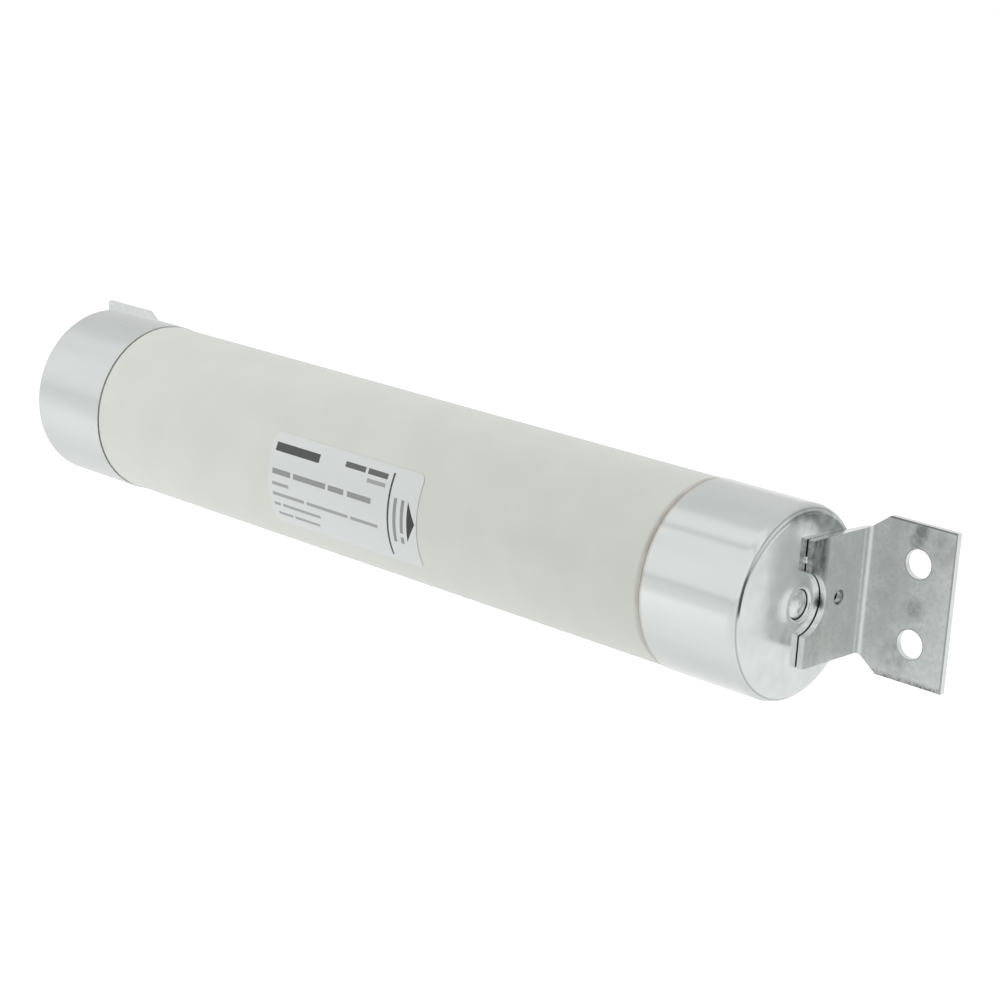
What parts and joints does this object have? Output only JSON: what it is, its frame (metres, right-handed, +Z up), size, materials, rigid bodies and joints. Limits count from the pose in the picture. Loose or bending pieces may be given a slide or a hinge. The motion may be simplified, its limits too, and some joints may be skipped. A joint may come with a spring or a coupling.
{
  "type": "motor fuse link",
  "caption": "Long ceramic cartridge fuse link for motor circuits, with plated end caps, a striker pin at one end and a bent, bolted fixing tag on each cap.",
  "frame": {"origin": "centre of the four fixing holes, on the plane that the backs of the two tags are bolted to", "axes": "+X along the fuse towards the striker end, +Y out of the backs of the tags, into what they are bolted to, +Z up, from one hole of a tag to the other"},
  "size_m": [0.4988, 0.0786, 0.0772],
  "materials": {
    "ceramic": "satin",
    "label": "smooth white, lightly glossy",
    "plated_cap": "bright tin plate on drawn copper",
    "plated_tag": "satin tin plate on copper sheet",
    "plated_pin": "bright plate",
    "solder": "dull solder",
    "bare_copper": "bare copper",
    "silver": "rolled silver strip",
    "brass": "turned brass",
    "spring_steel": "drawn wire",
    "gasket": "cut sheet",
    "insulation": "laminated paper board",
    "quartz": "packed sand"
  },
  "bodies": {
    "fuse_body": {"ceramic_barrel": "ceramic", "rating_label": "label", "striker_end_outer_cap": "plated_cap", "plain_end_outer_cap": "plated_cap", "striker_end_inner_cap": "bare_copper", "plain_end_inner_cap": "bare_copper", "striker_end_gasket": "gasket", "plain_end_gasket": "gasket", "striker_end_washer": "gasket", "plain_end_washer": "gasket", "striker_end_tag": "plated_tag", "plain_end_tag": "plated_tag", "striker_end_tag_solder": "solder", "plain_end_tag_solder": "solder", "striker_end_element_plate": "bare_copper", "plain_end_element_plate": "bare_copper", "fuse_element_1": "silver", "fuse_element_2": "silver", "fuse_element_3": "silver", "fuse_element_4": "silver", "fuse_element_5": "silver", "fuse_element_6": "silver", "solder_beads": "solder", "quartz_filler": "quartz", "sand_plug": "brass", "striker_tube": "brass", "striker_guide_bush": "brass", "striker_tail_plug": "insulation", "striker_spring": "spring_steel", "striker_hold_wire": "spring_steel", "hold_wire_ferrule": "brass"},
    "striker": {"striker_pin": "plated_pin"}
  },
  "joints": [
    {"name": "striker_slide", "type": "slide", "parent": "fuse_body", "child": "striker", "axis": [1, 0, 0], "range_m": [0, 0.025], "deforming": ["striker_spring"]}
  ]
}
